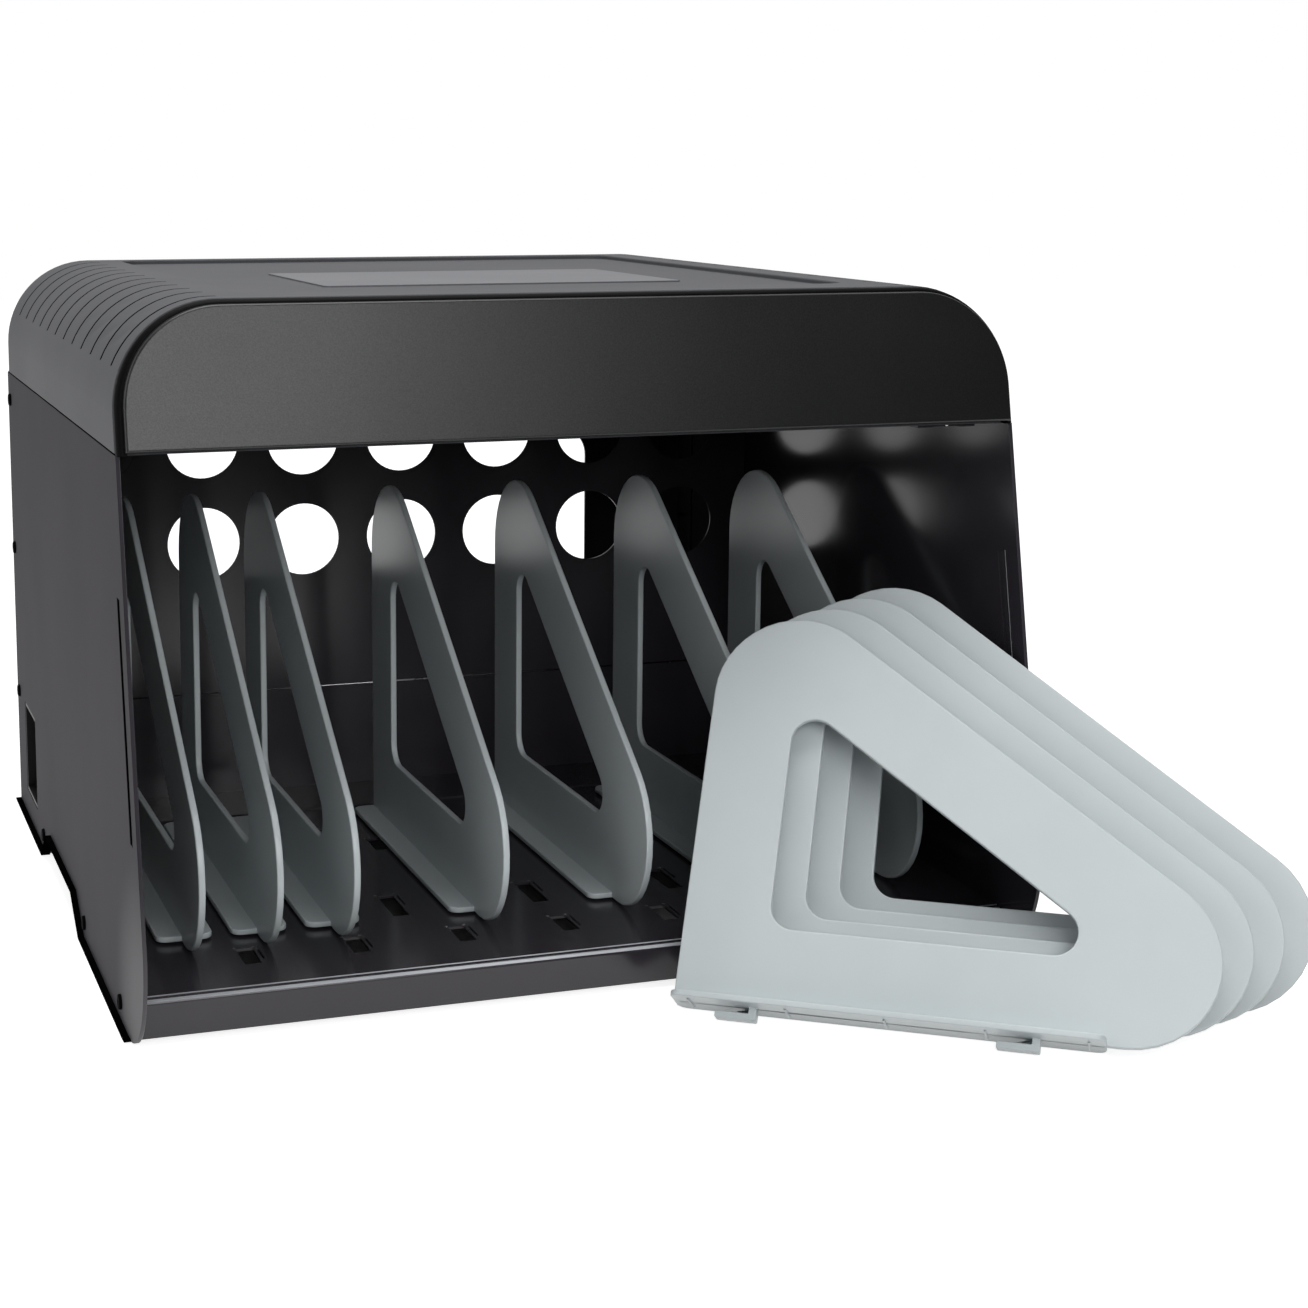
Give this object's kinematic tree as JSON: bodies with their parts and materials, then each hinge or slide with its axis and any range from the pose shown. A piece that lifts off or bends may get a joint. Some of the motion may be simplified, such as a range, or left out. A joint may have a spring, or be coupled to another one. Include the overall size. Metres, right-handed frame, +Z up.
{
  "type": "charging station organizer",
  "caption": "Desktop charging cabinet, open at the front, with hook-in triangular dividers that part the tablets, a perforated partition and a rear charger bay; spare dividers stand in front.",
  "frame": {"origin": "middle of the whole set's footprint, on the table: cabinet and the loose dividers in front of it", "axes": "+X to the right seen from the front, +Y from the front to the rear, +Z up"},
  "size_m": [0.5744, 0.6564, 0.363],
  "materials": {
    "black_powder_coat": "satin powder coat",
    "black_rubber": "matt",
    "black_screw": "black zinc",
    "black_plastic": "matt moulded",
    "rocker_plastic": "gloss moulded",
    "plated_contact": "nickel plated",
    "cover_plastic": "satin moulded",
    "label_film": "satin film",
    "fascia_plastic": "fine grain moulded",
    "zinc_steel": "zinc plated sheet",
    "divider_plastic": "fine matt moulded"
  },
  "bodies": {
    "cabinet": {"left_side_panel": "black_powder_coat", "right_side_panel": "black_powder_coat", "floor_pan": "black_powder_coat", "upper_partition": "black_powder_coat", "lower_partition": "black_powder_coat", "rear_wall": "black_powder_coat", "corner_angles": "black_powder_coat", "bay_pan": "black_powder_coat", "ceiling_sheet": "black_powder_coat", "front_rail": "black_powder_coat", "lock_keeper": "black_powder_coat", "left_foot_strip": "black_rubber", "right_foot_strip": "black_rubber", "side_screws": "black_screw", "rear_screws": "black_screw", "inlet_housing": "black_plastic", "inlet_socket": "black_plastic", "inlet_pins": "plated_contact", "top_cover": "cover_plastic", "label_plate": "label_film", "fascia_trim": "black_plastic", "fascia": "fascia_plastic", "charging_hub": "black_plastic", "usb_ports": "plated_contact", "power_supply": "zinc_steel"},
    "rocker": {"rocker_switch": "rocker_plastic"},
    "seated_1": {"seated_divider_1": "divider_plastic"},
    "seated_2": {"seated_divider_2": "divider_plastic"},
    "seated_3": {"seated_divider_3": "divider_plastic"},
    "seated_4": {"seated_divider_4": "divider_plastic"},
    "seated_5": {"seated_divider_5": "divider_plastic"},
    "seated_6": {"seated_divider_6": "divider_plastic"},
    "seated_7": {"seated_divider_7": "divider_plastic"},
    "loose_1": {"loose_divider_1": "divider_plastic"},
    "loose_2": {"loose_divider_2": "divider_plastic"},
    "loose_3": {"loose_divider_3": "divider_plastic"},
    "loose_4": {"loose_divider_4": "divider_plastic"}
  },
  "joints": [
    {"name": "rocker_tilt", "type": "hinge", "parent": "cabinet", "child": "rocker", "pos_m": [-0.26868, 0.25864, 0.0635], "axis": [0, -1, 0], "range_deg": [0, 14]},
    {"name": "seated_1_unhook", "type": "slide", "parent": "cabinet", "child": "seated_1", "axis": [0, -1, 0], "range_m": [0, 0.0075]},
    {"name": "seated_2_unhook", "type": "slide", "parent": "cabinet", "child": "seated_2", "axis": [0, -1, 0], "range_m": [0, 0.0075]},
    {"name": "seated_3_unhook", "type": "slide", "parent": "cabinet", "child": "seated_3", "axis": [0, -1, 0], "range_m": [0, 0.0075]},
    {"name": "seated_4_unhook", "type": "slide", "parent": "cabinet", "child": "seated_4", "axis": [0, -1, 0], "range_m": [0, 0.0075]},
    {"name": "seated_5_unhook", "type": "slide", "parent": "cabinet", "child": "seated_5", "axis": [0, -1, 0], "range_m": [0, 0.0075]},
    {"name": "seated_6_unhook", "type": "slide", "parent": "cabinet", "child": "seated_6", "axis": [0, -1, 0], "range_m": [0, 0.0075]},
    {"name": "seated_7_unhook", "type": "slide", "parent": "cabinet", "child": "seated_7", "axis": [0, -1, 0], "range_m": [0, 0.0075]},
    {"name": "loose_1_lift", "type": "slide", "parent": "loose_2", "child": "loose_1", "axis": [-0.4822, -0.6862, 0.5446], "range_m": [0, 0.2]},
    {"name": "loose_2_lift", "type": "slide", "parent": "loose_3", "child": "loose_2", "axis": [-0.4954, -0.7049, 0.5075], "range_m": [0, 0.12]},
    {"name": "loose_3_lift", "type": "slide", "parent": "loose_4", "child": "loose_3", "axis": [-0.5077, -0.7224, 0.4695], "range_m": [0, 0.12]},
    {"name": "loose_4_lift", "type": "slide", "parent": "cabinet", "child": "loose_4", "axis": [-0.519, -0.7385, 0.4305], "range_m": [0, 0.12]}
  ]
}
